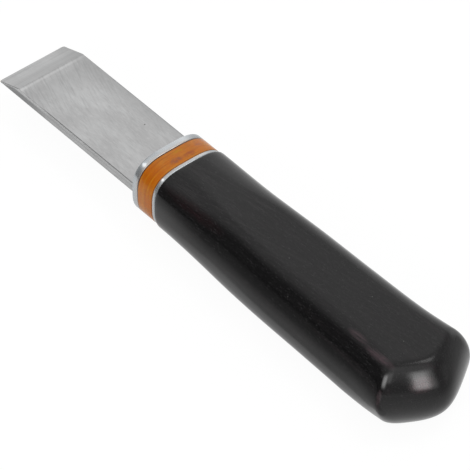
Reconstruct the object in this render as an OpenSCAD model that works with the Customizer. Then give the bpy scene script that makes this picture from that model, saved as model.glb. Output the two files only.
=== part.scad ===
// Leather skiving knife: single bevel blade on a hidden tang, plates and spacer, wooden handle.
// X runs from the cutting edge to the butt, Z is up, and the handle rests on the plane Z = 0.

/* [Blade] */
// width across the cutting edge
blade_w = 25; // [15:0.5:40]
// thickness of the steel bar
blade_t = 3.3; // [2:0.1:5]
// length from the cutting edge to the front plate
blade_l = 64.9; // [40:0.1:100]
// length of the single bevel along the blade
bevel_l = 9.4; // [5:0.1:20]
// height left standing at the cutting edge
edge_land = 0.05; // [0.02:0.01:0.3]
// radius of the two corners of the cutting edge
corner_r = 0.8; // [0.2:0.1:3]
// chamfer along the four long edges
blade_chamfer = 0.25; // [0.1:0.05:0.8]

/* [Tang] */
// width of the tang
tang_w = 12; // [8:0.5:18]
// length of the tang behind the shoulders
tang_l = 78; // [40:1:100]
// radius of the two corners at the end of the tang
tang_end_r = 2; // [0.5:0.1:4]
// clearance on each side of the tang in the plates
plate_fit = 0.1; // [0.05:0.01:0.3]
// clearance on each side of the tang in the spacer
spacer_fit = 0.2; // [0.05:0.01:0.5]
// thickness of the adhesive on each side of the tang in the handle
glue_gap = 0.5; // [0.2:0.05:1]
// depth of the adhesive behind the end of the tang
glue_end = 2; // [0.5:0.1:5]

/* [Plates and spacer] */
// thickness of the front plate
front_plate_t = 2.4; // [1:0.1:6]
// thickness of the spacer
spacer_t = 6.7; // [2:0.1:15]
// thickness of the rear plate
rear_plate_t = 1.4; // [0.8:0.1:6]
// how far the plates and spacer reach past each side of the blade
plate_margin = 1.05; // [0.2:0.05:6]
// height of the plates and spacer
ferrule_h = 21.2; // [12:0.1:30]
// half width taken by the round side of the plates and spacer
ferrule_side = 12.3; // [6:0.1:13]
// squareness of the plates and spacer, where 2 is an ellipse
ferrule_power = 2.9; // [2:0.05:6]

/* [Handle] */
// length from the rear plate to the end of the butt
handle_l = 113.6; // [80:0.1:160]
// height from the flat underside to the flat top
handle_h = 23.4; // [14:0.1:32]
// how far the front of the handle stands proud of the rear plate at the sides and on top
handle_proud = 0.35; // [0.1:0.05:1]
// radius of the front edge
handle_front_r = 0.6; // [0.2:0.1:2]
// width gained over the front end, a fifth of the way along
swell_1 = 0.1; // [-2:0.1:8]
// width gained before the middle
swell_2 = 1.8; // [-2:0.1:10]
// width gained behind the middle
swell_3 = 2.6; // [-2:0.1:12]
// width gained at the waist before the flare
swell_4 = 3.9; // [-2:0.1:12]
// width gained at the flare of the butt
swell_5 = 7.5; // [0:0.1:16]
// half width taken by each round side
handle_side = 7.4; // [4:0.1:9]
// squareness of the upper edges, where 2 is an ellipse
upper_power = 1.95; // [1.5:0.05:5]
// squareness of the lower edges at the front
lower_front_power = 2.6; // [1.5:0.05:5]
// squareness of the lower edges along the handle
lower_power = 3.05; // [1.5:0.05:5]
// squareness of the lower edges at the butt
lower_butt_power = 1.25; // [1.2:0.05:5]

/* [Butt] */
// how far the sides of the butt stand back from its end
butt_side_drop = 9.6; // [2:0.1:16]
// how far the top and underside of the butt stand back from its end
butt_top_drop = 6.7; // [2:0.1:12]
// roundness of the ridge in the middle of the butt
butt_ridge = 0.28; // [0.05:0.01:2]
// softened edge between the butt and the sides
butt_ease = 2; // [0.5:0.1:4]

/* [Colours] */
// ground steel
steel_colour = "#b4b6b8";
// polished plates
plate_colour = "#d4d8dc";
// amber spacer
spacer_colour = "#c27628";
// black wood
wood_colour = "#2a2727";
// adhesive
glue_colour = "#c8b98a";

/* [Hidden] */
$fn = 48;
// lengths that add up along X
ferrule_l = front_plate_t + spacer_t + rear_plate_t;
total_l = blade_l + ferrule_l + handle_l;
edge_x = -total_l / 2;
plate_x = edge_x + blade_l;
spacer_x = plate_x + front_plate_t;
rear_x = spacer_x + spacer_t;
handle_x = rear_x + rear_plate_t;
// widths and heights where the handle meets the plates
ferrule_w = blade_w + 2 * plate_margin;
front_w = ferrule_w + 2 * handle_proud;
front_h = ferrule_h + 2 * handle_proud;
butt_w = front_w + swell_5;
// height of the long axis above the rest plane, on the deeper of the two ends
axis_z = max(front_h, handle_h) / 2;
// the slot in the handle
slot_w = tang_w + 2 * glue_gap;
slot_h = blade_t + 2 * glue_gap;
slot_end_x = plate_x + tang_l + glue_end;
// overrun of the cutting shapes
over = 1;
// steps over half a flat, over a round edge and over a quarter of a cross section
flat_steps = 5;
round_steps = 14;
quarter = flat_steps + round_steps;
ring_n = 4 * quarter;
// largest share of a half width that a round side takes
side_share = 0.95;
// width gained by the handle at shares of its length
swell_table = [[0, 0], [0.2, swell_1], [0.4, swell_2], [0.6, swell_3], [0.78, swell_4],
    [0.92, swell_5], [1.06, 2 * swell_5 - swell_4]];
// share of the length over which the front section turns into the handle section
blend_end = 0.3;
// share of the length where the lower edges begin to soften, and where they are soft
soften_start = 0.72;
soften_end = 0.95;
// angles of the rings over the round front edge
front_angles = [0, 30, 60];
// numbers of rings along the sides, over the softened edge and over the butt
body_rings = 26;
edge_rings = 5;
butt_rings = 9;
// repeats that settle where a line along the side meets the butt
settle_steps = 6;

// smooth step from 0 to 1
function ease(t) = let (u = min(max(t, 0), 1)) u * u * (3 - 2 * u);
function mix(a, b, t) = a + (b - a) * t;

// smooth curve through a table of places and values
function slope(tab, i) =
    let (a = max(i - 1, 0))
    let (b = min(i + 1, len(tab) - 1))
    (tab[b][1] - tab[a][1]) / (tab[b][0] - tab[a][0]);
function span(tab, t, i = 0) = i >= len(tab) - 2 || t < tab[i + 1][0] ? i : span(tab, t, i + 1);
function curve(tab, t) =
    let (i = span(tab, t))
    let (h = tab[i + 1][0] - tab[i][0])
    let (u = (t - tab[i][0]) / h)
    let (a = tab[i][1])
    let (b = tab[i + 1][1])
    let (p = slope(tab, i) * h)
    let (q = slope(tab, i + 1) * h)
    a + u * (p + u * (3 * (b - a) - 2 * p - q + u * (2 * (a - b) + p + q)));

// steps from the start of the round edge at point j of a section, below zero on the flat
function edge_step(j) = let (u = j % (2 * quarter)) min(u, 2 * quarter - u) - flat_steps;

// point j of a section with half width b, heights above and below, round side s and edge powers
function section_pt(j, b, above, below, s, up, low) =
    let (right = j < 2 * quarter)
    let (top = j <= quarter || j > 3 * quarter)
    let (k = edge_step(j))
    let (a = 90 * max(k, 0) / round_steps)
    let (m = top ? up : low)
    let (r = min(s, side_share * b))
    let (y = (b - r) * (1 + min(k, 0) / flat_steps) + r * pow(sin(a), 2 / m))
    let (z = pow(cos(a), 2 / m))
    [right ? y : -y, top ? above * z : -below * z];

// outline of the plates and the spacer
ferrule_outline = [for (j = [0:ring_n - 1]) if (edge_step(j) >= 0)
    section_pt(j, ferrule_w / 2, ferrule_h / 2, ferrule_h / 2, ferrule_side, ferrule_power,
        ferrule_power)];

// section of the handle at a distance from its front, drawn in by a set amount
function handle_pt(j, x, inset = 0) =
    let (t = x / handle_l)
    let (k = ease(t / blend_end))
    let (g = ease((t - soften_start) / (soften_end - soften_start)))
    let (low = mix(mix(lower_front_power, lower_power, k), lower_butt_power, g))
    let (b = (front_w + curve(swell_table, t)) / 2)
    let (above = mix(front_h / 2, handle_h / 2, k))
    let (below = mix(axis_z, handle_h / 2, k))
    let (s = mix(ferrule_side, handle_side, k))
    let (up = mix(ferrule_power, upper_power, k))
    section_pt(j, b - inset, above - inset, below - inset, s - inset, up, low);

// place of the butt's end surface, a soft ridge across Y and a bow across Z
function butt_x(p) =
    let (y = 2 * p[0] / butt_w)
    let (z = 2 * p[1] / handle_h)
    let (rise = sqrt(y * y + butt_ridge * butt_ridge) - butt_ridge)
    let (full = sqrt(1 + butt_ridge * butt_ridge) - butt_ridge)
    handle_l - butt_side_drop * rise / full - butt_top_drop * z * z;

// where line j along the side meets the butt, found by n repeats
function line_end(j, x, n) = n == 0 ? x : line_end(j, butt_x(handle_pt(j, x)), n - 1);

// points in the frame of the whole knife
function placed(x, p) = [x, p[0], axis_z + p[1]];
function butt_pt(p, k) = placed(handle_x + butt_x(k * p), k * p);

// ring faces between two rings of points
function band(r) = [for (j = [0:ring_n - 1])
    let (n = (j + 1) % ring_n)
    let (a = r * ring_n + j)
    let (b = r * ring_n + n)
    let (c = a + ring_n)
    let (d = b + ring_n)
    each [[a, c, d], [a, d, b]]];

// solid through a list of rings, closed at both ends by faces around a middle point
module loft(rings, start, tip) {
    count = len(rings);
    last = (count - 1) * ring_n;
    total = count * ring_n;
    points = [each [for (r = rings) each r], start, tip];
    front = [for (j = [0:ring_n - 1]) [(j + 1) % ring_n, total, j]];
    end = [for (j = [0:ring_n - 1]) [last + j, total + 1, last + (j + 1) % ring_n]];
    polyhedron(points, [each front, each [for (r = [0:count - 2]) each band(r)], each end]);
}

// one slice of the plates and spacer with the slot for the tang, grown by a clearance
module ferrule_slice(x, t, fit) {
    w = tang_w + 2 * fit;
    h = blade_t + 2 * fit;
    translate([x, 0, axis_z])
        rotate([90, 0, 90])
            linear_extrude(t)
                difference() {
                    polygon(ferrule_outline);
                    translate([-w / 2, -h / 2])
                        square([w, h]);
                }
}

// straight bar on the axis between two places
module bar(x0, x1, w, h) {
    translate([x0, -w / 2, axis_z - h / 2])
        cube([x1 - x0, w, h]);
}

// bar on the axis with two round corners in plan, at its start or at its end
module round_bar(x0, x1, w, r, h, round_start) {
    rx = round_start ? x0 + r : x1 - r;
    a = round_start ? rx : x0;
    b = round_start ? x1 : rx;
    ex = round_start ? x0 : rx;
    translate([0, 0, axis_z - h / 2])
        linear_extrude(h) {
            translate([a, -w / 2])
                square([b - a, w]);
            translate([ex, -w / 2 + r])
                square([r, w - 2 * r]);
            for (s = [-1, 1])
                translate([rx, s * (w / 2 - r)])
                    circle(r);
        }
}

// the tang from the shoulders to its end
module tang() {
    round_bar(plate_x, plate_x + tang_l, tang_w, tang_end_r, blade_t, false);
}

// the exposed bar with chamfered long edges
module chamfered_bar() {
    w = blade_w / 2;
    t = blade_t / 2;
    c = blade_chamfer;
    translate([edge_x, 0, axis_z])
        rotate([90, 0, 90])
            linear_extrude(blade_l)
                polygon([[c - w, -t], [w - c, -t], [w, c - t], [w, t - c], [w - c, t], [c - w, t],
                    [-w, t - c], [-w, c - t]]);
}

// what is ground away above the bevel
module bevel_cut() {
    t = blade_t / 2;
    rise = (blade_t - edge_land) / bevel_l;
    translate([edge_x, blade_w, axis_z])
        rotate([90, 0, 0])
            linear_extrude(2 * blade_w)
                polygon([[-over, edge_land - t - rise * over], [bevel_l + over, t + rise * over],
                    [-over, t + rise * over]]);
}

module blade() {
    color(steel_colour)
        union() {
            difference() {
                intersection() {
                    chamfered_bar();
                    round_bar(edge_x, plate_x + over, blade_w, corner_r, blade_t + 2 * over, true);
                }
                bevel_cut();
            }
            tang();
        }
}

module front_plate() {
    color(plate_colour)
        ferrule_slice(plate_x, front_plate_t, plate_fit);
}

module spacer() {
    color(spacer_colour)
        ferrule_slice(spacer_x, spacer_t, spacer_fit);
}

module rear_plate() {
    color(plate_colour)
        ferrule_slice(rear_x, rear_plate_t, plate_fit);
}

// the wooden block before the slot is cut
module handle_block() {
    r = handle_front_r;
    ends = [for (j = [0:ring_n - 1]) line_end(j, handle_l - butt_top_drop, settle_steps)];
    rims = [for (j = [0:ring_n - 1]) handle_pt(j, ends[j])];
    keep = [for (j = [0:ring_n - 1]) 1 - butt_ease / norm(rims[j])];
    front_rings = [for (a = front_angles)
        [for (j = [0:ring_n - 1])
            placed(handle_x + r * (1 - cos(a)), handle_pt(j, r * (1 - cos(a)), r * (1 - sin(a))))]];
    side_rings = [for (i = [0:body_rings])
        [for (j = [0:ring_n - 1])
            let (x = mix(r, ends[j] - butt_ease, i / body_rings))
            placed(handle_x + x, handle_pt(j, x))]];
    soft_rings = [for (i = [1:edge_rings])
        [for (j = [0:ring_n - 1])
            let (t = i / edge_rings)
            let (a = placed(handle_x + ends[j] - butt_ease, handle_pt(j, ends[j] - butt_ease)))
            let (c = placed(handle_x + ends[j], rims[j]))
            let (b = butt_pt(rims[j], keep[j]))
            mix(mix(a, c, t), mix(c, b, t), t)]];
    end_rings = [for (i = [1:butt_rings - 1])
        [for (j = [0:ring_n - 1]) butt_pt(rims[j], keep[j] * (1 - i / butt_rings))]];
    loft([each front_rings, each side_rings, each soft_rings, each end_rings],
        placed(handle_x, [0, 0]), butt_pt([0, 0], 1));
}

module handle() {
    color(wood_colour)
        difference() {
            handle_block();
            bar(handle_x - over, slot_end_x, slot_w, slot_h);
        }
}

module tang_epoxy() {
    color(glue_colour)
        difference() {
            bar(handle_x, slot_end_x, slot_w, slot_h);
            tang();
        }
}

blade();
front_plate();
spacer();
rear_plate();
handle();
tang_epoxy();
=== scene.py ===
# Looks of a leather skiving knife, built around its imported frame. All sizes are in metres.
from math import cos, pi, radians, sin, sqrt
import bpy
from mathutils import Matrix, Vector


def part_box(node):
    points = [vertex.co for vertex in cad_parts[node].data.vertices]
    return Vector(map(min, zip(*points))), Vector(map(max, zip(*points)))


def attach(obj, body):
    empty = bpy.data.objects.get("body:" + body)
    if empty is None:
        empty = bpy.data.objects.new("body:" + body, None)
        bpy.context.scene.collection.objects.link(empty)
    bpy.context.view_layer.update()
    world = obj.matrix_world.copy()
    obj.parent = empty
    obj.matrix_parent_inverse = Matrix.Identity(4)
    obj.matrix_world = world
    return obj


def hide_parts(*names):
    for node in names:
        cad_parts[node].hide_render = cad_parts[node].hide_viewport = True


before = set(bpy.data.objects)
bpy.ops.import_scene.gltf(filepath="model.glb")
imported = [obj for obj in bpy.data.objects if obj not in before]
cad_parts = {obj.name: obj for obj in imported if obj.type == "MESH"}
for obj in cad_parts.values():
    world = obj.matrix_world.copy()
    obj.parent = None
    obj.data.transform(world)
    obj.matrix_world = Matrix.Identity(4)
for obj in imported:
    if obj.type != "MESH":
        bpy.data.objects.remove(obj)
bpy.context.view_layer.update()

from types import SimpleNamespace

import bpy
import numpy as np
from mathutils import Matrix, Vector

MM = 0.001
TINY = 1e-9

# Places and sizes from the frame
blade_low, blade_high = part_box("blade")
front_low, front_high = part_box("front_plate")
spacer_low, spacer_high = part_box("spacer")
rear_low, rear_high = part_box("rear_plate")
handle_low, handle_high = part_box("handle")
glue_low, glue_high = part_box("tang_epoxy")
EDGE_X = blade_low.x
PLATE_X = front_low.x
TANG_END_X = blade_high.x
HANDLE_X = handle_low.x
AXIS_Z = (blade_low.z + blade_high.z) / 2
BLADE_W = blade_high.y - blade_low.y
BLADE_T = blade_high.z - blade_low.z
FERRULE_W = front_high.y - front_low.y
FERRULE_H = front_high.z - front_low.z
HANDLE_L = handle_high.x - handle_low.x
HANDLE_H = handle_high.z - handle_low.z
SLOT_W = glue_high.y - glue_low.y
SLOT_H = glue_high.z - glue_low.z
SLOT_END_X = glue_high.x

# Blade and tang
BEVEL_L = 9.4 * MM
EDGE_LAND = 0.05 * MM
CORNER_R = 0.8 * MM
BLADE_CHAMFER = 0.25 * MM
CHAMFER_LIMIT = 0.45
TANG_W = 12 * MM
TANG_END_R = 2 * MM

# Plates and spacer
FERRULE_SIDE = 12.3 * MM
FERRULE_POWER = 2.9
PLATE_FIT = 0.1 * MM
SPACER_FIT = 0.2 * MM
PLATE_EASE = 0.3 * MM
SPACER_EASE = 0.2 * MM

# Handle: how much its width grows at shares of its length, then its section and its butt
BUTT_SWELL = 7.5 * MM
SWELL_SHARES = (0, 0.2, 0.4, 0.6, 0.78, 0.92, 1.06)
SWELLS = (0, 0.1 * MM, 1.8 * MM, 2.6 * MM, 3.9 * MM, BUTT_SWELL, 11.1 * MM)
HANDLE_PROUD = 0.35 * MM
HANDLE_FRONT_R = 0.6 * MM
HANDLE_SIDE = 7.4 * MM
UPPER_POWER = 1.95
LOWER_FRONT_POWER = 2.6
LOWER_POWER = 3.05
LOWER_BUTT_POWER = 1.25
BLEND_END = 0.3
SOFTEN_START = 0.72
SOFTEN_END = 0.95
BUTT_SIDE_DROP = 9.6 * MM
BUTT_TOP_DROP = 6.7 * MM
BUTT_RIDGE = 0.28
BUTT_EASE = 2 * MM
FRONT_W = FERRULE_W + 2 * HANDLE_PROUD
FRONT_H = FERRULE_H + 2 * HANDLE_PROUD
BUTT_W = FRONT_W + BUTT_SWELL

# Fineness of the meshes
FLAT_STEPS = 8
ROUND_STEPS = 30
QUARTER = FLAT_STEPS + ROUND_STEPS
RING_N = 4 * QUARTER
EASE_STEPS = 5
BODY_RINGS = 90
EDGE_RINGS = 10
BUTT_RINGS = 24
SETTLE_STEPS = 12
CORNER_RINGS = 7
BEVEL_RINGS = 9
BLADE_STEP = 1.2 * MM

# Angles between faces, in degrees, above which an edge is shaded sharp
HANDLE_SHARP = 50
PLATE_SHARP = 30
BLADE_SHARP = 12


# Small helpers

def ease(t):
    """Smooth step from 0 to 1."""
    u = np.clip(t, 0, 1)
    return u * u * (3 - 2 * u)


def mix(a, b, t):
    return a + (b - a) * t


def curve(places, values, at):
    """Smooth cubic curve through values at places."""
    places, values = np.array(places, float), np.array(values, float)
    slopes = np.gradient(values) / np.gradient(places)
    i = np.clip(np.searchsorted(places, at, side="right") - 1, 0, len(places) - 2)
    gap = places[i + 1] - places[i]
    u = (at - places[i]) / gap
    start, end = values[i], values[i + 1]
    leave, arrive = slopes[i] * gap, slopes[i + 1] * gap
    bend = 3 * (end - start) - 2 * leave - arrive
    twist = 2 * (start - end) + leave + arrive
    return start + u * (leave + u * (bend + u * twist))


def section(half_w, above, below, side, upper, lower):
    """Points (y, z) of a section that is flat in the middle and rounded at its sides by edge powers."""
    j = np.arange(RING_N)
    u = j % (2 * QUARTER)
    k = np.minimum(u, 2 * QUARTER - u) - FLAT_STEPS
    right = j < 2 * QUARTER
    top = (j <= QUARTER) | (j > 3 * QUARTER)
    angle = pi / 2 * np.maximum(k, 0) / ROUND_STEPS
    power = 2 / np.where(top, upper, lower)
    y = (half_w - side) * (1 + np.minimum(k, 0) / FLAT_STEPS) + side * np.abs(np.sin(angle)) ** power
    z = np.abs(np.cos(angle)) ** power
    return np.stack([np.where(right, y, -y), np.where(top, above * z, -below * z)], 1)


def placed(x, yz):
    """Points of a section at x, in the frame of the knife."""
    x = np.broadcast_to(x, len(yz))
    return np.stack([x, yz[:, 0], yz[:, 1] + AXIS_Z], 1)


def slot_ring(x, outline, width, height):
    """Rectangle around the axis with one point for each point of an outline."""
    half = np.array([width / 2, height / 2])
    ring = outline * np.min(half / np.maximum(np.abs(outline), TINY), axis=1)[:, None]
    for sy in (-1, 1):
        for sz in (-1, 1):
            corner = half * (sy, sz)
            ring[np.argmin(np.linalg.norm(ring - corner, axis=1))] = corner
    return placed(x, ring)


def add_to_scene(name, data):
    """New object in the scene."""
    made = bpy.data.objects.new(name, data)
    bpy.context.scene.collection.objects.link(made)
    return made


def mesh_from_rings(name, rings, sharp, start=None, end=None):
    """Mesh through rings of points, closed by a fan at start and end, or else round to the first ring."""
    rings = np.array(rings)
    count, n = rings.shape[:2]
    points = [tuple(p) for p in rings.reshape(-1, 3)]
    loop = start is None
    faces = []
    for r in range(count if loop else count - 1):
        a, b = r * n, (r + 1) % count * n
        faces += [(a + j, b + j, b + (j + 1) % n, a + (j + 1) % n) for j in range(n)]
    if not loop:
        points += [tuple(start), tuple(end)]
        first, last = len(points) - 2, len(points) - 1
        tail = (count - 1) * n
        faces += [((j + 1) % n, first, j) for j in range(n)]
        faces += [(tail + j, last, tail + (j + 1) % n) for j in range(n)]
    mesh = bpy.data.meshes.new(name)
    mesh.from_pydata(points, [], faces)
    mesh.validate()
    mesh.shade_smooth()
    mesh.set_sharp_from_angle(angle=radians(sharp))
    return add_to_scene(name, mesh)


# Handle

def handle_section(x, inset=0.0):
    """Section of the handle at distances x from its front, drawn in by a set amount."""
    share = x / HANDLE_L
    formed = ease(share / BLEND_END)
    softened = ease((share - SOFTEN_START) / (SOFTEN_END - SOFTEN_START))
    half_w = (FRONT_W + curve(SWELL_SHARES, SWELLS, share)) / 2
    above = mix(FRONT_H, HANDLE_H, formed) / 2
    below = HANDLE_H / 2
    side = mix(FERRULE_SIDE, HANDLE_SIDE, formed)
    upper = mix(FERRULE_POWER, UPPER_POWER, formed)
    lower = mix(mix(LOWER_FRONT_POWER, LOWER_POWER, formed), LOWER_BUTT_POWER, softened)
    return section(half_w - inset, above - inset, below - inset, side - inset, upper, lower)


def butt_x(yz):
    """Place of the butt's end surface, a soft ridge across Y and a bow across Z."""
    y, z = 2 * yz[:, 0] / BUTT_W, 2 * yz[:, 1] / HANDLE_H
    rise = np.sqrt(y * y + BUTT_RIDGE**2) - BUTT_RIDGE
    full = sqrt(1 + BUTT_RIDGE**2) - BUTT_RIDGE
    return HANDLE_L - BUTT_SIDE_DROP * rise / full - BUTT_TOP_DROP * z * z


def butt_ring(yz):
    return placed(HANDLE_X + butt_x(yz), yz)


def handle_ends():
    """Distances from the front at which the sides meet the end surface, found in a few steps."""
    ends = np.full(RING_N, HANDLE_L - BUTT_TOP_DROP)
    for _ in range(SETTLE_STEPS):
        ends = butt_x(handle_section(ends))
    return ends


def handle_rings():
    """Rings over the eased front edge, the body, the eased rim and the end surface."""
    r = HANDLE_FRONT_R
    ends = handle_ends()
    rims = handle_section(ends)
    keep = (1 - BUTT_EASE / np.linalg.norm(rims, axis=1))[:, None]
    rings = []
    for a in np.linspace(0, pi / 2, EASE_STEPS, endpoint=False):
        x = r * (1 - cos(a))
        rings.append(placed(HANDLE_X + x, handle_section(np.full(RING_N, x), r * (1 - sin(a)))))
    for i in range(BODY_RINGS + 1):
        x = mix(r, ends - BUTT_EASE, i / BODY_RINGS)
        rings.append(placed(HANDLE_X + x, handle_section(x)))
    side, rim, butt = rings[-1], placed(HANDLE_X + ends, rims), butt_ring(keep * rims)
    for share in np.linspace(0, 1, EDGE_RINGS + 1)[1:]:
        rings.append(mix(mix(side, rim, share), mix(rim, butt, share), share))
    for share in np.linspace(1, 0, BUTT_RINGS + 1)[1:-1]:
        rings.append(butt_ring(share * keep * rims))
    rings = np.array(rings)
    rings[:, :, 1] *= handle_high.y / rings[:, :, 1].max()
    return rings


def make_handle():
    rings = handle_rings()
    mouth = slot_ring(HANDLE_X, rings[0][:, 1:] - (0, AXIS_Z), SLOT_W, SLOT_H)
    bottom = mouth + (SLOT_END_X - HANDLE_X, 0, 0)
    slot_end = (SLOT_END_X, 0, AXIS_Z)
    tip = (HANDLE_X + HANDLE_L, 0, AXIS_Z)
    return mesh_from_rings("handle_wood", [bottom, mouth, *rings], HANDLE_SHARP, slot_end, tip)


# Plates and spacer

def ferrule_section(inset=0.0):
    half_w, half_h = FERRULE_W / 2 - inset, FERRULE_H / 2 - inset
    return section(half_w, half_h, half_h, FERRULE_SIDE - inset, FERRULE_POWER, FERRULE_POWER)


def make_slice(name, low, high, fit, r):
    """One slice of the ferrule with eased outer edges and the slot for the tang."""
    slot = (TANG_W + 2 * fit, BLADE_T + 2 * fit)
    angles = np.linspace(0, pi / 2, EASE_STEPS + 1)
    front = [placed(low.x + r * (1 - cos(a)), ferrule_section(r * (1 - sin(a)))) for a in angles]
    back = [placed(high.x - r * (1 - cos(a)), ferrule_section(r * (1 - sin(a)))) for a in angles[::-1]]
    mouth = slot_ring(low.x, ferrule_section(), *slot)
    return mesh_from_rings(name, [mouth, *front, *back, mouth + (high.x - low.x, 0, 0)], PLATE_SHARP)


# Blade

def bar_section(x, half_w, top):
    """Ring of a bar between the flat back of the blade and a given top, with round chamfers."""
    low = -BLADE_T / 2
    chamfer = min(BLADE_CHAMFER, CHAMFER_LIMIT * (top - low))
    bulge = chamfer * (1 - sqrt(0.5))
    corner = [(chamfer, 0), (bulge, bulge), (0, chamfer)]
    right = [(half_w - u, low + v) for u, v in corner] + [(half_w - v, top - u) for u, v in corner]
    ring = np.array(right + [(-y, z) for y, z in right[::-1]])
    return placed(x, ring)


def blade_rings():
    """Rings from the cutting edge over the bevel, the bar and the shoulders to the end of the tang."""
    rise = (BLADE_T - EDGE_LAND) / BEVEL_L
    exposed = PLATE_X - EDGE_X
    corner = CORNER_R * (1 - np.cos(np.linspace(0, pi / 2, CORNER_RINGS)))
    bevel = np.linspace(CORNER_R, BEVEL_L, BEVEL_RINGS)[1:]
    bar = np.linspace(BEVEL_L, exposed, round((exposed - BEVEL_L) / BLADE_STEP))[1:]
    rings = []
    for x in [*corner, *bevel, *bar]:
        cut = CORNER_R - sqrt(max(CORNER_R**2 - max(CORNER_R - x, 0) ** 2, 0))
        top = min(EDGE_LAND + rise * x, BLADE_T) - BLADE_T / 2
        rings.append(bar_section(EDGE_X + x, BLADE_W / 2 - cut, top))
    rings.append(bar_section(PLATE_X, TANG_W / 2, BLADE_T / 2))
    for a in np.linspace(0, pi / 2, CORNER_RINGS):
        x = TANG_END_X - TANG_END_R * (1 - sin(a))
        rings.append(bar_section(x, TANG_W / 2 - TANG_END_R * (1 - cos(a)), BLADE_T / 2))
    return rings


def make_blade():
    start = (EDGE_X, 0, AXIS_Z - BLADE_T / 2 + EDGE_LAND / 2)
    return mesh_from_rings("blade_steel", blade_rings(), BLADE_SHARP, start, (TANG_END_X, 0, AXIS_Z))


# Node trees

# Sockets of the Mix node that carry its share and its colours
MIX_SHARE, MIX_A, MIX_B, MIX_RESULT = 0, 6, 7, 2


class Tree:
    """Short calls that add nodes to one node tree."""

    def __init__(self, owner):
        owner.use_nodes = True
        self.tree = owner.node_tree
        self.tree.nodes.clear()

    def add(self, kind, inputs=(), **settings):
        made = self.tree.nodes.new("ShaderNode" + kind)
        for key, value in settings.items():
            setattr(made, key, value)
        for key, value in dict(inputs).items():
            if isinstance(value, bpy.types.NodeSocket):
                self.tree.links.new(value, made.inputs[key])
            else:
                made.inputs[key].default_value = value
        return made

    def place(self):
        return self.add("TexCoord").outputs["Object"]

    def axes(self, vector):
        return self.add("SeparateXYZ", {0: vector}).outputs

    def facing(self):
        """Directions X, Y and Z of the surface's normal."""
        return self.axes(self.add("NewGeometry").outputs["Normal"])

    def length(self, vector):
        return self.add("VectorMath", {0: vector}, operation="LENGTH").outputs["Value"]

    def stretch(self, vector, scale, shift=(0, 0, 0)):
        return self.add("Mapping", {"Vector": vector, "Scale": scale, "Location": shift}).outputs[0]

    def turn(self, vector, angle):
        return self.add("Mapping", {"Vector": vector, "Rotation": (0, 0, angle)}).outputs[0]

    def noise(self, vector, scale, detail, rough, bend=0.0):
        """Noise with its own scale along each axis."""
        sockets = {"Vector": self.stretch(vector, scale), "Scale": 1.0}
        sockets |= {"Detail": detail, "Roughness": rough, "Distortion": bend}
        return self.add("TexNoise", sockets).outputs["Fac"]

    def math(self, operation, a, b=0.0):
        return self.add("Math", {0: a, 1: b}, operation=operation).outputs[0]

    def product(self, first, *others):
        made = first
        for value in others:
            made = self.math("MULTIPLY", made, value)
        return made

    def total(self, first, *others):
        made = first
        for value in others:
            made = self.math("ADD", made, value)
        return made

    def distance(self, value, middle):
        """How far a value lies from a middle, on either side."""
        return self.math("ABSOLUTE", self.math("SUBTRACT", value, middle))

    def span(self, value, low, high, to_low=0.0, to_high=1.0):
        """Smooth step of a value between low and high."""
        sockets = {"Value": value, "From Min": low, "From Max": high, "To Min": to_low, "To Max": to_high}
        return self.add("MapRange", sockets, interpolation_type="SMOOTHSTEP").outputs["Result"]

    def band(self, value, rise, fall):
        """1 between the rise and the fall of a value, each with its own two ends."""
        return self.product(self.span(value, *rise), self.span(value, *fall, 1, 0))

    def blend(self, share, a, b):
        made = self.add("Mix", {MIX_SHARE: share, MIX_A: a, MIX_B: b}, data_type="RGBA")
        return made.outputs[MIX_RESULT]

    def bump(self, height, distance, strength, normal=None):
        sockets = {"Height": height, "Distance": distance, "Strength": strength}
        if normal is not None:
            sockets["Normal"] = normal
        return self.add("Bump", sockets).outputs["Normal"]

    def diffuse(self, tint):
        return self.add("BsdfDiffuse", {"Color": tint}).outputs[0]

    def glow(self, strength):
        return self.add("Emission", {"Color": WHITE, "Strength": strength}).outputs[0]

    def clear(self):
        return self.add("BsdfTransparent").outputs[0]

    def principled(self, inputs):
        """Ends the tree with one principled shader."""
        self.finish(self.add("BsdfPrincipled", inputs).outputs[0])

    def finish(self, shader):
        self.add("OutputMaterial", {"Surface": shader})


def colour(r, g, b):
    return (r, g, b, 1.0)


WHITE = colour(1, 1, 1)
COOL_GREEN = 0.002
COOL_BLUE = 0.003


def grey(level):
    """Slightly cool grey, as the steel's marks are."""
    return colour(level, level + COOL_GREEN, level + COOL_BLUE)


def new_material(name):
    material = bpy.data.materials.new(name)
    return material, Tree(material)


# Materials

# A noise is given by its scale along X, Y and Z, its detail, its roughness and its distortion.
# A span is given by a low and a high value, then by the results at both where those aren't 0 and 1.
# A bump is given by its height and its strength.

NOISE_SPAN = (0.3, 0.7)
SPOT_CORE = 0.25


def spot(t, place, centre, size):
    """Soft mask around a centre, with a half size along each axis."""
    shift = tuple(-c / s for c, s in zip(centre, size))
    far = t.stretch(place, tuple(1 / s for s in size), shift)
    return t.span(t.length(far), SPOT_CORE, 1, 1, 0)


# Reddish streaks in the wood, partly its own colour and partly painted highlight, which those near the
# butt carry: centre, half size and colour
STREAKS_AND_HIGHLIGHTS = (
    ((-4 * MM, -11 * MM, 20.6 * MM), (18 * MM, 2.6 * MM, 2.6 * MM), (0.013, 0.0055, 0.0065)),
    ((67.5 * MM, -10.1 * MM, 23.1 * MM), (5.5 * MM, 1.5 * MM, 1.6 * MM), (0.045, 0.028, 0.033)),
    ((77.5 * MM, -11 * MM, 23 * MM), (8 * MM, 1.7 * MM, 1.8 * MM), (0.05, 0.03, 0.036)),
    ((83.8 * MM, -16.6 * MM, 14.4 * MM), (1.1 * MM, 1.1 * MM, 8 * MM), (0.05, 0.034, 0.038)),
    ((89.8 * MM, -6 * MM, 18.4 * MM), (4 * MM, 5 * MM, 3 * MM), (0.05, 0.026, 0.03)),
)
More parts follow.
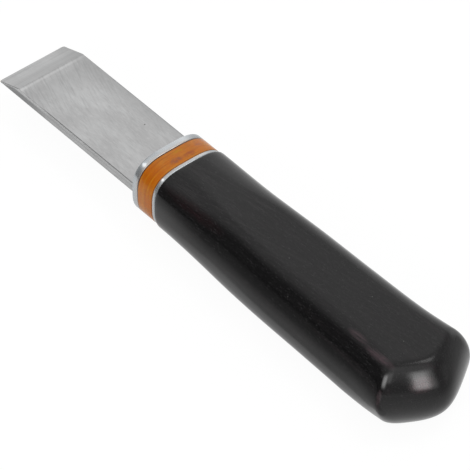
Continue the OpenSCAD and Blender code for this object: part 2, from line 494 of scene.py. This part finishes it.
# Pale specks in the polish, each a small round spot
SPECKS = (
    (77.4 * MM, -1.9 * MM, 23.4 * MM),
    (58.2 * MM, 3.2 * MM, 23.4 * MM),
    (31 * MM, -4.6 * MM, 23.4 * MM),
    (40 * MM, -12.9 * MM, 19.9 * MM),
)
SPECK_R = 0.3 * MM
# Wood: noises, spans, bumps and colours
GRAIN_ANGLE = radians(-11)
WOOD_FIGURE = ((14, 260, 260), 4, 0.6, 0.6)
WOOD_PATCH = ((330, 1300, 1300), 3, 0.65, 0.4)
WOOD_FIBRE = ((60, 2600, 2600), 3, 0.6)
WOOD_SLANT = ((45, 1400, 1400), 4, 0.7, 0.2)
WOOD_PORES = ((700, 2600, 2600), 3, 0.6)
WOOD_WAVE = ((9, 420, 420), 3, 0.6, 0.3)
WOOD_UPRIGHT = ((2400, 2400, 500), 3, 0.6)
FIGURE_SPAN = (0.5, 0.85)
PATCH_SPAN = (0.3, 0.6, 0.4, 1)
SLANT_SPAN = (0.45, 0.7)
FIBRE_SPAN = (0.45, 0.7, 0, 0.9)
PORE_SPAN = (0.54, 0.7, 0, 0.7)
WOOD_ROUGH = (0.3, 0.75, 0.12, 0.2)
# Where the grain on the top is painted paler as painted sheen, more near the front
SHEEN_TOP_SPAN = (0.75, 0.95)
SHEEN_TOP_X = (0, 40 * MM, 0.9, 0.45)
BUTT_SPAN_X = (handle_high.x - 12 * MM, handle_high.x - 7 * MM)
WAVE_BUMP = (0.03 * MM, 0.5)
UPRIGHT_BUMP = (0.04 * MM, 0.8)
FIBRE_BUMP = (0.01 * MM, 0.3)
WOOD_DARK = colour(0.0045, 0.0042, 0.0045)
WOOD_BROWN = colour(0.014, 0.009, 0.0105)
GRAIN_SHEEN_GREY = colour(0.017, 0.0152, 0.0158)
WOOD_BLACK = colour(0.0015, 0.0013, 0.0015)
PORE_COLOUR = colour(0.023, 0.0223, 0.0228)
SPECK_COLOUR = colour(0.06, 0.058, 0.057)
WOOD_IOR = 1.4


def wood_colour(t, place, fibre):
    """Near-black brown with reddish streaks, partly painted highlight near the butt, slanting grain on
    the top painted paler as painted sheen, fibres, pores and specks.
    """
    base = t.blend(t.span(t.noise(place, *WOOD_FIGURE), *FIGURE_SPAN), WOOD_DARK, WOOD_BROWN)
    broken = t.span(t.noise(place, *WOOD_PATCH), *PATCH_SPAN)
    # Reddish streaks, those near the butt partly painted highlight
    for centre, size, tint in STREAKS_AND_HIGHLIGHTS:
        base = t.blend(t.product(spot(t, place, centre, size), broken), base, colour(*tint))
    # Painted sheen: pale slanting grain lines on upward faces, stronger near the front
    upper = t.product(t.span(t.facing()["Z"], *SHEEN_TOP_SPAN), t.span(t.axes(place)["X"], *SHEEN_TOP_X))
    slanted = t.span(t.noise(t.turn(place, GRAIN_ANGLE), *WOOD_SLANT), *SLANT_SPAN)
    base = t.blend(t.product(slanted, upper), base, GRAIN_SHEEN_GREY)
    base = t.blend(t.span(fibre, *FIBRE_SPAN), base, WOOD_BLACK)
    base = t.blend(t.span(t.noise(place, *WOOD_PORES), *PORE_SPAN), base, PORE_COLOUR)
    for centre in SPECKS:
        base = t.blend(spot(t, place, centre, (SPECK_R, SPECK_R, SPECK_R)), base, SPECK_COLOUR)
    return base


def black_wood():
    material, t = new_material("black_wood")
    place = t.place()
    fibre = t.noise(place, *WOOD_FIBRE)
    upright = t.product(t.noise(place, *WOOD_UPRIGHT), t.span(t.axes(place)["X"], *BUTT_SPAN_X))
    normal = t.bump(t.noise(place, *WOOD_WAVE), *WAVE_BUMP)
    normal = t.bump(upright, *UPRIGHT_BUMP, normal)
    normal = t.bump(fibre, *FIBRE_BUMP, normal)
    t.principled({
        "Base Color": wood_colour(t, place, fibre),
        "Roughness": t.span(fibre, *WOOD_ROUGH),
        "Normal": normal,
        "IOR": WOOD_IOR,
    })
    return material


# Steel: noises, spans of them, and spans of the normal's directions
GRIND_ANGLE = radians(19.5)
STEEL_CLOUD = ((80, 130, 130), 3, 0.6)
STEEL_MOTTLE = ((240, 760, 760), 4, 0.65)
STEEL_GRIT = ((550, 2400, 2400), 2, 0.6)
LINES_SKEW = ((110, 2000, 2000), 4, 0.65)
LINES_ACROSS = ((1600, 45, 1600), 4, 0.65)
LINES_ALONG = ((150, 2600, 2600), 4, 0.65)
MOTTLE_SPAN = (0.35, 0.7, 0, 0.45)
LINE_SPAN = (0.46, 0.66)
GRIT_SPAN = (0.5, 0.7, 0, 0.3)
CREST_SPAN = (0.3, 0.7, 0.35, 0.65)
STEEL_ROUGH = (0.3, 0.7, 0.3, 0.42)
LINE_BUMP = (0.01 * MM, 0.5)
FACE_UP = (0.5, 0.8)
FACE_SIDE = (0.5, 0.8)
FACE_FLAT = (0.6, 0.9)
# Spans for the painted shade on the far rim and the painted light on the near rim
RIM_UP = (0.1, 0.3)
FAR_RIM_SIDE = (0.2, 0.36)
NEAR_RIM_SIDE = (-0.8, -0.5, 1, 0)
# Steel: distances behind the bevel's upper line, below zero on the bevel itself
BEVEL_END = (-0.3 * MM, 0, 1, 0)
BEVEL_TINT = (-BEVEL_L, -3 * MM, 0.25, 0.7)
SKEW_ZONE = (10 * MM, 26 * MM, 1, 0.4)
FRESH_ZONE = (3 * MM, 14 * MM, 0.6, 0.5)
# Band of the painted highlight on the crest behind the bevel line, then bands of painted shade behind the
# line, on the bevel and at the line
CREST_BAND = ((0.45 * MM, 0.8 * MM), (1.1 * MM, 1.9 * MM))
SHADE_BAND_BEHIND = ((2 * MM, 4.5 * MM), (6 * MM, 16 * MM))
SHADE_BAND_ON_BEVEL = ((-5 * MM, -2 * MM), (0, 0.5 * MM))
STEP_BAND = ((-0.15 * MM, 0.1 * MM), (0.2 * MM, 0.5 * MM))
# Zones of painted shade and painted light on the sides
SIDE_SHADE_ZONE = (3 * MM, 55 * MM, 0.6, 0.45)
DARK_ZONE = (3 * MM, 19 * MM, 0.85, 0)
SIDE_CHANGE = (9 * MM, 17 * MM)
# Steel: heights on the sides and distances across the face, for painted shade and painted light
DARK_Z = (AXIS_Z + 0.3 * MM, AXIS_Z + 1.2 * MM, 1, 0.4)
LIT_STRIP_Z = (AXIS_Z + 0.45 * MM, AXIS_Z + 1.05 * MM)
FOOT_Z = (blade_low.z + 0.25 * MM, blade_low.z + 0.65 * MM, 1, 0)
SIDE_LINE_Z = AXIS_Z + 0.4 * MM
SIDE_LINE_W = (0.1 * MM, 0.3 * MM, 1, 0)
BORDER_Y = BLADE_W / 2 - BLADE_CHAMFER
BORDER_SPAN = (BORDER_Y - 0.25 * MM, BORDER_Y)
OUTER_SPAN = (6 * MM, 12 * MM)
PIT = (-48.3 * MM, 6.6 * MM, AXIS_Z + BLADE_T / 2)
PIT_R = 0.35 * MM
# Steel: colours, and the shares of the marks that have one share all over; the crest, side, rim and shade
# greys are painted light and shade
STEEL_DARK = colour(0.495, 0.493, 0.494)
STEEL_PALE = colour(0.6, 0.603, 0.604)
MOTTLE_GREY = grey(0.46)
LINE_GREY = grey(0.4)
GRIT_GREY = grey(0.66)
BEVEL_TINT_AND_LIT_STRIP_GREY = grey(0.49)
CREST_HIGHLIGHT_GREY = grey(0.7)
SHADE_GREY = grey(0.38)
SIDE_SHADE_GREY = grey(0.3)
DEEP_SHADE_GREY = grey(0.2)
RIM_SHADE_GREY = grey(0.15)
RIM_LIGHT_GREY = grey(0.68)
PIT_COLOUR = colour(0.12, 0.115, 0.11)
SHADE_SHARE = 0.3
LIT_STRIP_SHARE = 0.85
SIDE_LINE_SHARE = 0.35
FAR_RIM_SHARE = 0.85
NEAR_RIM_SHARE = 0.75
BORDER_SHARE = 0.7
OUTER_SHARE = 0.42


def steel_zones(t):
    """Places and masks that the marks on the steel share."""
    place = t.place()
    axes = t.axes(place)
    facing = t.facing()
    behind = t.math("SUBTRACT", axes["X"], EDGE_X + BEVEL_L)
    top = t.span(facing["Z"], *FACE_UP)
    return SimpleNamespace(
        place=place,
        y=axes["Y"],
        z=axes["Z"],
        facing=facing,
        behind=behind,
        top=top,
        bevel=t.product(t.span(behind, *BEVEL_END), top),
        sideways=t.span(t.math("ABSOLUTE", facing["Y"]), *FACE_SIDE),
        cloud=t.noise(place, *STEEL_CLOUD),
    )


def steel_lines(t, zones):
    """Grinding lines, slanted on the front of the face, across on the bevel and lengthwise elsewhere."""
    slanted = t.product(t.math("SUBTRACT", zones.top, zones.bevel), t.span(zones.behind, *SKEW_ZONE))
    lengthwise = t.math("SUBTRACT", 1.0, t.math("ADD", slanted, zones.bevel))
    return t.total(
        t.product(t.noise(t.turn(zones.place, GRIND_ANGLE), *LINES_SKEW), slanted),
        t.product(t.noise(zones.place, *LINES_ACROSS), zones.bevel),
        t.product(t.noise(zones.place, *LINES_ALONG), lengthwise),
    )


def steel_ground(t, zones, line):
    """Cloudy grey with mottling, grinding lines and bright grit."""
    base = t.blend(t.span(zones.cloud, *NOISE_SPAN), STEEL_DARK, STEEL_PALE)
    base = t.blend(t.span(t.noise(zones.place, *STEEL_MOTTLE), *MOTTLE_SPAN), base, MOTTLE_GREY)
    fresh = t.span(zones.behind, *FRESH_ZONE)
    base = t.blend(t.product(t.span(line, *LINE_SPAN), fresh), base, LINE_GREY)
    return t.blend(t.span(t.noise(zones.place, *STEEL_GRIT), *GRIT_SPAN), base, GRIT_GREY)


def steel_bevel(t, zones, base):
    """Tint of the bevel, darker towards its upper line, a painted highlight on the crest behind its line
    and painted shade in bands along it.
    """
    behind = zones.behind
    base = t.blend(t.product(zones.bevel, t.span(behind, *BEVEL_TINT)), base, BEVEL_TINT_AND_LIT_STRIP_GREY)
    # Painted highlight along the crest behind the bevel line
    crest = t.product(t.band(behind, *CREST_BAND), zones.top)
    base = t.blend(t.product(crest, t.span(zones.cloud, *CREST_SPAN)), base, CREST_HIGHLIGHT_GREY)
    # Painted shade in bands behind the line, on the bevel and at the line
    shade = t.math("MAXIMUM", t.band(behind, *SHADE_BAND_BEHIND), t.band(behind, *SHADE_BAND_ON_BEVEL))
    shade = t.math("ADD", shade, t.band(behind, *STEP_BAND))
    return t.blend(t.product(shade, zones.top, SHADE_SHARE), base, SHADE_GREY)


def steel_sides(t, zones, base):
    """Sides with painted shade, deeper in their lower part near the bevel, a painted lighter strip high
    on them there, and painted shade lines farther back.
    """
    behind, z, sideways = zones.behind, zones.z, zones.sideways
    rest = t.math("SUBTRACT", 1.0, zones.top)
    # Painted shade on every face but the top
    base = t.blend(t.product(rest, t.span(behind, *SIDE_SHADE_ZONE)), base, SIDE_SHADE_GREY)
    # Deeper painted shade on the lower part of the sides near the bevel
    dark = t.product(sideways, t.span(behind, *DARK_ZONE), t.span(z, *DARK_Z))
    base = t.blend(dark, base, DEEP_SHADE_GREY)
    # Painted light: a lighter strip high on the sides near the bevel
    bare = t.product(sideways, t.span(behind, *SIDE_CHANGE, 1, 0), t.span(z, *LIT_STRIP_Z))
    base = t.blend(t.product(bare, LIT_STRIP_SHARE), base, BEVEL_TINT_AND_LIT_STRIP_GREY)
    # Painted shade lines along the sides and their foot, farther back
    lines = t.math("MAXIMUM", t.span(t.distance(z, SIDE_LINE_Z), *SIDE_LINE_W), t.span(z, *FOOT_Z))
    lines = t.product(lines, sideways, t.span(behind, *SIDE_CHANGE, 0, SIDE_LINE_SHARE))
    return t.blend(lines, base, DEEP_SHADE_GREY)


def steel_edges(t, zones, base):
    """Painted shade on the far rim, painted light on the near rim, a painted shade line at the border,
    painted shade on the far half of the face, and one pit.
    """
    facing = zones.facing
    # Painted shade on the far rim and painted light on the near rim
    up = t.span(facing["Z"], *RIM_UP)
    far_rim = t.product(t.span(facing["Y"], *FAR_RIM_SIDE), up)
    base = t.blend(t.product(far_rim, FAR_RIM_SHARE), base, RIM_SHADE_GREY)
    near_rim = t.product(t.span(facing["Y"], *NEAR_RIM_SIDE), up)
    base = t.blend(t.product(near_rim, NEAR_RIM_SHARE), base, RIM_LIGHT_GREY)
    # Painted shade line along the border of the face
    border = t.span(t.math("ABSOLUTE", zones.y), *BORDER_SPAN)
    border = t.product(border, t.span(facing["Z"], *FACE_FLAT), t.span(zones.behind, *SIDE_CHANGE))
    base = t.blend(t.product(border, BORDER_SHARE), base, RIM_SHADE_GREY)
    # Painted shade on the far half of the face
    outer = t.product(t.span(zones.y, *OUTER_SPAN), zones.top)
    base = t.blend(t.product(outer, OUTER_SHARE), base, SHADE_GREY)
    return t.blend(spot(t, zones.place, PIT, (PIT_R, PIT_R, PIT_R)), base, PIT_COLOUR)


def ground_steel():
    material, t = new_material("ground_steel")
    zones = steel_zones(t)
    line = steel_lines(t, zones)
    base = steel_ground(t, zones, line)
    for mark in (steel_bevel, steel_sides, steel_edges):
        base = mark(t, zones, base)
    t.principled({
        "Base Color": base,
        "Roughness": t.span(line, *STEEL_ROUGH),
        "Normal": t.bump(line, *LINE_BUMP),
        "Metallic": 1.0,
    })
    return material


# Plates: noises, spans and colours, a painted reflection of the spacer, and painted shade on a place on
# their far side and on their side-facing ends
PLATE_HAIR = ((4000, 60, 60), 3, 0.6)
PLATE_CLOUD = ((120, 120, 120), 2, 0.5)
PLATE_ROUGH = (0.3, 0.75, 0.2, 0.3)
PLATE_SIDE_SHADE = (0.6, 0.95, 0, 0.4)
HAIR_BUMP = (0.004 * MM, 0.25)
SPACER_X = (spacer_low.x + spacer_high.x) / 2
SPACER_HALF = (spacer_high.x - spacer_low.x) / 2
SPACER_REFLECTION_SPAN = (SPACER_HALF, SPACER_HALF + 1.1 * MM, 0.55, 0)
PLATE_DARK = colour(0.53, 0.56, 0.58)
PLATE_PALE = colour(0.59, 0.615, 0.635)
SPACER_REFLECTION_TINT = colour(0.64, 0.51, 0.42)
FAR_SHADE_PLATE = colour(0.28, 0.295, 0.305)
SIDE_SHADE_PLATE = colour(0.3, 0.315, 0.325)
PLATE_METALLIC = 0.75
FAR_SHADE = (-24.5 * MM, 9.6 * MM, 21.2 * MM)
FAR_SHADE_R = (11 * MM, 5.5 * MM, 4 * MM)
FAR_SHADE_SHARE = 0.9


def polished_plate():
    """Plates with fine turned lines, a warm painted reflection of the spacer beside it, painted shade on
    their far side and painted shade on their side-facing ends.
    """
    material, t = new_material("polished_plate")
    place = t.place()
    hair = t.noise(place, *PLATE_HAIR)
    base = t.blend(t.span(t.noise(place, *PLATE_CLOUD), *NOISE_SPAN), PLATE_DARK, PLATE_PALE)
    # Painted reflection of the amber spacer as a warm tinge next to it
    base = t.blend(t.span(t.distance(t.axes(place)["X"], SPACER_X), *SPACER_REFLECTION_SPAN), base, SPACER_REFLECTION_TINT)
    # Painted shade on a place on the far side of the plates
    base = t.blend(t.product(spot(t, place, FAR_SHADE, FAR_SHADE_R), FAR_SHADE_SHARE), base, FAR_SHADE_PLATE)
    # Painted shade where the plates face sideways
    base = t.blend(t.span(t.math("ABSOLUTE", t.facing()["Y"]), *PLATE_SIDE_SHADE), base, SIDE_SHADE_PLATE)
    t.principled({
        "Base Color": base,
        "Roughness": t.span(hair, *PLATE_ROUGH),
        "Normal": t.bump(hair, *HAIR_BUMP),
        "Metallic": PLATE_METALLIC,
    })
    return material


# Dusky and pale stains on the spacer: centre, half size and colour
STAINS = (
    ((-22.6 * MM, -2.2 * MM, 22.3 * MM), (1.4 * MM, 3.4 * MM, 2 * MM), (0.22, 0.08, 0.055)),
    ((-22.4 * MM, 2.6 * MM, 22.3 * MM), (1.4 * MM, 3 * MM, 2 * MM), (0.3, 0.075, 0.03)),
    ((-25.4 * MM, 1 * MM, 22.3 * MM), (1 * MM, 4 * MM, 2 * MM), (0.46, 0.2, 0.006)),
    ((-24.4 * MM, 7.4 * MM, 22 * MM), (2 * MM, 2 * MM, 2 * MM), (0.36, 0.13, 0.06)),
)
# Deeper orange on the rounded near corner of the spacer
DEEP = (-24.2 * MM, -10.2 * MM, 19.8 * MM)
DEEP_R = (9 * MM, 5.5 * MM, 5.5 * MM)
DEEP_SHARE = 0.9
# Spacer: noises, spans and colours
SPACER_LAYER = ((1500, 45, 45), 4, 0.6, 0.3)
SPACER_CLOUD = ((260, 150, 150), 3, 0.6, 0.4)
SPACER_BLOT = ((900, 700, 700), 3, 0.6, 0.5)
BLOT_SPAN = (0.45, 0.7, 0, 0.45)
STAIN_SPAN = (0.35, 0.6, 0.15, 0.75)
PALE_LAYER = (0.52, 0.75, 0, 0.6)
DARK_LAYER = (0.3, 0.47, 0.5, 0)
FRONT_JOINT = (spacer_low.x + 0.25 * MM, spacer_low.x + 0.5 * MM, 0.95, 0)
REAR_JOINT = (spacer_high.x - 0.3 * MM, spacer_high.x, 0, 0.5)
SPACER_ROUGH = (0.3, 0.75, 0.18, 0.28)
LAYER_BUMP = (0.01 * MM, 0.3)
AMBER_DARK = colour(0.46, 0.125, 0.012)
AMBER_PALE = colour(0.5, 0.17, 0.02)
BLOT_COLOUR = colour(0.39, 0.145, 0.025)
DEEP_COLOUR = colour(0.445, 0.105, 0.0005)
PALE_LAYER_COLOUR = colour(0.53, 0.26, 0.02)
DARK_LAYER_COLOUR = colour(0.29, 0.075, 0.012)
JOINT_COLOUR = colour(0.03, 0.012, 0.006)
SPACER_IOR = 1.27


def amber_spacer():
    """Amber with layers, blots, stains, a deeper corner and dark joints at both faces."""
    material, t = new_material("amber_spacer")
    place = t.place()
    layer = t.noise(place, *SPACER_LAYER)
    blot = t.noise(place, *SPACER_BLOT)
    base = t.blend(t.span(t.noise(place, *SPACER_CLOUD), *NOISE_SPAN), AMBER_DARK, AMBER_PALE)
    base = t.blend(t.span(blot, *BLOT_SPAN), base, BLOT_COLOUR)
    base = t.blend(t.product(spot(t, place, DEEP, DEEP_R), DEEP_SHARE), base, DEEP_COLOUR)
    base = t.blend(t.span(layer, *PALE_LAYER), base, PALE_LAYER_COLOUR)
    base = t.blend(t.span(layer, *DARK_LAYER), base, DARK_LAYER_COLOUR)
    for centre, size, tint in STAINS:
        share = t.product(spot(t, place, centre, size), t.span(blot, *STAIN_SPAN))
        base = t.blend(share, base, colour(*tint))
    x = t.axes(place)["X"]
    joints = t.math("ADD", t.span(x, *FRONT_JOINT), t.span(x, *REAR_JOINT))
    t.principled({
        "Base Color": t.blend(joints, base, JOINT_COLOUR),
        "Roughness": t.span(layer, *SPACER_ROUGH),
        "Normal": t.bump(layer, *LAYER_BUMP),
        "IOR": SPACER_IOR,
    })
    return material


# Adhesive: noise, span and colours
GLUE_CLOUD = ((300, 300, 300), 3, 0.5)
GLUE_ROUGH = (0.3, 0.7, 0.4, 0.6)
GLUE_DARK = colour(0.5, 0.4, 0.2)
GLUE_PALE = colour(0.62, 0.52, 0.3)


def adhesive():
    material, t = new_material("adhesive")
    cloud = t.noise(t.place(), *GLUE_CLOUD)
    t.principled({
        "Base Color": t.blend(t.span(cloud, *NOISE_SPAN), GLUE_DARK, GLUE_PALE),
        "Roughness": t.span(cloud, *GLUE_ROUGH),
    })
    return material


# Pieces

def dress(piece, material, node):
    """Gives a new piece its finish and its place on the body."""
    piece.data.materials.append(material)
    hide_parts(node)
    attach(piece, "root")


plate_finish = polished_plate()
dress(make_blade(), ground_steel(), "blade")
front = make_slice("front_plate_polished", front_low, front_high, PLATE_FIT, PLATE_EASE)
dress(front, plate_finish, "front_plate")
spacer = make_slice("spacer_amber", spacer_low, spacer_high, SPACER_FIT, SPACER_EASE)
dress(spacer, amber_spacer(), "spacer")
rear = make_slice("rear_plate_polished", rear_low, rear_high, PLATE_FIT, PLATE_EASE)
dress(rear, plate_finish, "rear_plate")
dress(make_handle(), black_wood(), "handle")
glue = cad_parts["tang_epoxy"]
glue.data.materials.clear()
glue.data.materials.append(adhesive())


# Stage and light

def towards(azimuth, elevation):
    """Unit vector to a direction in degrees, azimuth from +X towards +Y."""
    a, e = radians(azimuth), radians(elevation)
    return Vector((cos(a) * cos(e), sin(a) * cos(e), sin(e)))


def face_knife(piece, target, way, distance):
    """Puts a card or lamp at a distance from a target, turned to it."""
    piece.location = target + way * distance
    piece.rotation_mode = "QUATERNION"
    piece.rotation_quaternion = way.to_track_quat("Z", "Y")


def flat_sheet(name, points, material):
    """Flat sheet with one face."""
    mesh = bpy.data.meshes.new(name)
    mesh.from_pydata(points, [], [tuple(range(len(points)))])
    mesh.materials.append(material)
    return add_to_scene(name, mesh)


def camera_ray(t):
    return t.add("LightPath").outputs["Is Camera Ray"]


def seen_directly(t):
    """1 for rays that look, reflect or refract, and 0 for those that only carry light."""
    path = t.add("LightPath").outputs
    mirrored = t.math("MAXIMUM", path["Is Glossy Ray"], path["Is Transmission Ray"])
    return t.math("MAXIMUM", path["Is Camera Ray"], mirrored)


FLOOR_HALF = 20.0
FLOOR_Z = -0.02 * MM
TABLE_COLOUR = colour(0.8, 0.8, 0.8)
# What reflections and the camera see of the floor: its paleness and its own glow
FLOOR_PALE = (0.38, 0.065)
MIRRORED_GLOW = 0.62
CAMERA_GLOW = 0.945
# In reflections the floor is dimmer on the right of the butt, by radius and place
DIM_X = 90 * MM
DIM_RADII = (15 * MM, 90 * MM, 0, 0.4)
DIM_SPAN_X = (88 * MM, 98 * MM)
DIM_SPAN_Y = (-60 * MM, 20 * MM, 0.4, 1)


def dimmed(t):
    """Glow that the floor lacks in reflections."""
    place = t.place()
    axes = t.axes(place)
    radius = t.length(t.stretch(place, (1, 1, 0), (-DIM_X, 0, 0)))
    right = t.product(t.span(axes["X"], *DIM_SPAN_X), t.span(axes["Y"], *DIM_SPAN_Y))
    return t.product(t.span(radius, *DIM_RADII), right)


def make_floor():
    """White table that is clear from below."""
    material, t = new_material("white_table")
    camera = camera_ray(t)
    level = t.span(camera, 0, 1, t.math("SUBTRACT", MIRRORED_GLOW, dimmed(t)), CAMERA_GLOW)
    pale = t.diffuse(t.span(camera, 0, 1, *FLOOR_PALE))
    white = t.add("AddShader", {0: pale, 1: t.glow(level)}).outputs[0]
    top = t.add("MixShader", {0: seen_directly(t), 1: t.diffuse(TABLE_COLOUR), 2: white}).outputs[0]
    below = t.add("NewGeometry").outputs["Backfacing"]
    t.finish(t.add("MixShader", {0: below, 1: top, 2: t.clear()}).outputs[0])
    corners = ((-1, -1), (1, -1), (1, 1), (-1, 1))
    points = [(FLOOR_HALF * x, FLOOR_HALF * y, FLOOR_Z) for x, y in corners]
    flat_sheet("floor", points, material)


def only_reflected(piece):
    """Keeps a piece of the stage out of everything but reflections."""
    piece.visible_camera = False
    piece.visible_diffuse = False
    piece.visible_transmission = False
    piece.visible_shadow = False


# Flag: its outline, tucked in under the butt, and spans of how dark it is
FLAG_Z = 0.1 * MM
FLAG_HALF_X = 20.0
FLAG_FAR_Y = -20.0
FLAG_EDGE_Y = -19.5 * MM
FLAG_TUCK_Y = -17.3 * MM
FLAG_TUCK = (
    (92 * MM, FLAG_EDGE_Y), (86 * MM, FLAG_TUCK_Y), (74 * MM, FLAG_TUCK_Y), (62 * MM, FLAG_EDGE_Y),
)
FLAG_NEAR = (-45 * MM, FLAG_EDGE_Y, 0.78, 0.5)
FLAG_MIDDLE = (-200 * MM, -45 * MM, 0.19, 0)
FLAG_DISTANT = (-200 * MM, -100 * MM, 1, 0)
FLAG_RIGHT = (80 * MM, 96 * MM, 1, 0)
FLAG_LEFT = (-28 * MM, 2 * MM)
FLAG_SIDE_Y = -13 * MM
FLAG_SLANT = 0.71
FLAG_COLOUR = colour(0.05, 0.05, 0.05)


def make_flag():
    """A dark sheet along the near side of the table that only reflections show, putting painted shade
    into the reflected table.
    """
    material, t = new_material("reflected_shade_sheet")
    place = t.axes(t.place())
    x, y = place["X"], place["Y"]
    share = t.math("ADD", t.span(y, *FLAG_NEAR), t.span(y, *FLAG_MIDDLE))
    station = t.math("ADD", x, t.product(t.math("SUBTRACT", FLAG_SIDE_Y, y), FLAG_SLANT))
    left = t.math("MAXIMUM", t.span(station, *FLAG_LEFT), t.span(y, *FLAG_DISTANT))
    share = t.product(share, left, t.span(x, *FLAG_RIGHT))
    t.finish(t.add("MixShader", {0: share, 1: t.clear(), 2: t.diffuse(FLAG_COLOUR)}).outputs[0])
    far = [(-FLAG_HALF_X, FLAG_FAR_Y), (FLAG_HALF_X, FLAG_FAR_Y)]
    outline = [*far, (FLAG_HALF_X, FLAG_EDGE_Y), *FLAG_TUCK, (-FLAG_HALF_X, FLAG_EDGE_Y)]
    only_reflected(flat_sheet("flag", [(x, y, FLAG_Z) for x, y in outline], material))


# Cards that make the highlights: name, place on the knife, direction, distance in millimetres, reach to
# the left, right, down and up in millimetres, level, and the share of each reach over which it fades
RIGHT_SHINE = Vector((89.4, -6.1, 19.5)) * MM
RIGHT_HAZE = Vector((89.6, -5.8, 19.4)) * MM
LEFT_SHINE = Vector((83.4, -14.2, 20.1)) * MM
LEFT_HAZE = Vector((83.8, -13, 20.8)) * MM
FRONT_SHINE = Vector((-28.2, -9.8, 20.8)) * MM
REAR_SHINE = Vector((-19.8, -9.8, 20.8)) * MM
EVEN_FADE = (0.6, 0.6, 0.6, 0.6)
CARDS = (
    ("right_card", RIGHT_SHINE, (-18, 20), 5, (3.4, 4.6, 4.6, 6.4), 5.3, (0.65, 0.74, 0.48, 0.94)),
    ("right_glow", RIGHT_HAZE, (-9, 20), 5, (6.5, 6.5, 5.2, 7), 1.9, EVEN_FADE),
    ("left_card", LEFT_SHINE, (-66, 30), 3, (1.9, 1.7, 3.8, 3.3), 6, (0.8, 0.8, 0.7, 0.7)),
    ("left_glow", LEFT_HAZE, (-48, 36), 3.5, (2.8, 2.2, 3, 3), 1.25, EVEN_FADE),
    ("front_plate_card", FRONT_SHINE, (-148, 50), 2.5, (1.3, 1.3, 1.3, 1.3), 1.15, EVEN_FADE),
    ("rear_plate_card", REAR_SHINE, (-148, 50), 1.6, (0.8, 0.8, 0.8, 0.8), 1.4, EVEN_FADE),
)


def make_card(name, target, direction, distance, reach, level, fade):
    """Small glowing card in a direction from a place on the knife."""
    left, right, low, high = (side * MM for side in reach)
    material, t = new_material(name)
    place = t.axes(t.place())
    shares = (
        t.span(place["X"], -left, -left * (1 - fade[0])),
        t.span(place["X"], right * (1 - fade[1]), right, 1, 0),
        t.span(place["Y"], -low, -low * (1 - fade[2])),
        t.span(place["Y"], high * (1 - fade[3]), high, 1, 0),
    )
    glow = t.glow(t.product(level, *shares))
    t.finish(t.add("AddShader", {0: glow, 1: t.clear()}).outputs[0])
    corners = [(-left, -low, 0), (right, -low, 0), (right, high, 0), (-left, high, 0)]
    card = flat_sheet(name, corners, material)
    face_knife(card, target, towards(*direction), distance * MM)
    only_reflected(card)


ROOM_LEVEL = 0.15
# Soft patches of light: azimuth and elevation, outer and inner angle, level
LOBES = (
    ((0, 90), 65, 30, 0.55),
    ((124, 7), 46, 22, 1.0),
    ((22, 4), 40, 10, 0.36),
    ((68, 8), 40, 14, 0.42),
    ((-20, 50), 36, 10, 0.65),
    ((-32, 10), 42, 14, 0.35),
    ((168, 52), 34, 12, 0.12),
    ((76, 68), 13, 5, 2.4),
)


def lobe(t, way, centre, outer, inner, level):
    """Soft round patch of light around a direction, between two angles from it."""
    near = t.add("VectorMath", {0: way, 1: towards(*centre)}, operation="DOT_PRODUCT").outputs["Value"]
    return t.span(near, cos(radians(outer)), cos(radians(inner)), 0, level)


def make_world():
    """A dim room with a pale ceiling, a bright far side and paler places on the right and near side."""
    world = bpy.data.worlds.new("studio")
    bpy.context.scene.world = world
    t = Tree(world)
    way = t.add("TexCoord").outputs["Generated"]
    level = ROOM_LEVEL
    for patch in LOBES:
        level = t.math("ADD", lobe(t, way, *patch), level)
    level = t.math("MAXIMUM", level, camera_ray(t))
    light = t.add("Background", {"Color": WHITE, "Strength": level})
    t.add("OutputWorld", {"Surface": light.outputs[0]})


# Lamps: name, direction, width and height, radiance
LAMPS = (
    ("overhead", (66, 70), (0.32, 0.32), 3.6),
    ("left_box", (-68, 27), (0.35, 0.5), 6.5),
)
LAMP_DISTANCE = 1.0


def make_lamp(name, direction, size, radiance):
    """Round area lamp that faces the knife and stays out of sight and reflections."""
    lamp = bpy.data.lights.new(name, "AREA")
    lamp.shape = "ELLIPSE"
    lamp.size, lamp.size_y = size
    area = pi / 4 * lamp.size * lamp.size_y
    lamp.energy = radiance * pi * area
    box = add_to_scene(name, lamp)
    face_knife(box, Vector((0, 0, 0)), towards(*direction), LAMP_DISTANCE)
    box.visible_camera = False
    box.visible_glossy = False


# Camera, fitted to the photograph
VIEW_AZIMUTH = radians(49.923)
VIEW_ELEVATION = radians(43.627)
VIEW_DISTANCE = 1.4
VIEW_AIM = Vector((-6.72, 6.84, -2.03)) * MM
LENS_MM = 362.5
SENSOR_MM = 36
CLIP_START = 0.1
CLIP_END = 100


def make_camera():
    a, e = VIEW_AZIMUTH, VIEW_ELEVATION
    right = Vector((cos(a), sin(a), 0))
    back = Vector((sin(a) * cos(e), -cos(a) * cos(e), sin(e)))
    up = back.cross(right)
    data = bpy.data.cameras.new("camera")
    data.lens = LENS_MM
    data.sensor_width = SENSOR_MM
    data.clip_start = CLIP_START
    data.clip_end = CLIP_END
    camera = add_to_scene("camera", data)
    turn = Matrix((right, up, back)).transposed().to_4x4()
    camera.matrix_world = Matrix.Translation(VIEW_AIM + back * VIEW_DISTANCE) @ turn
    bpy.context.scene.camera = camera


make_floor()
make_flag()
make_world()
for card in CARDS:
    make_card(*card)
for lamp in LAMPS:
    make_lamp(*lamp)
make_camera()
bpy.context.scene.view_settings.view_transform = "Standard"
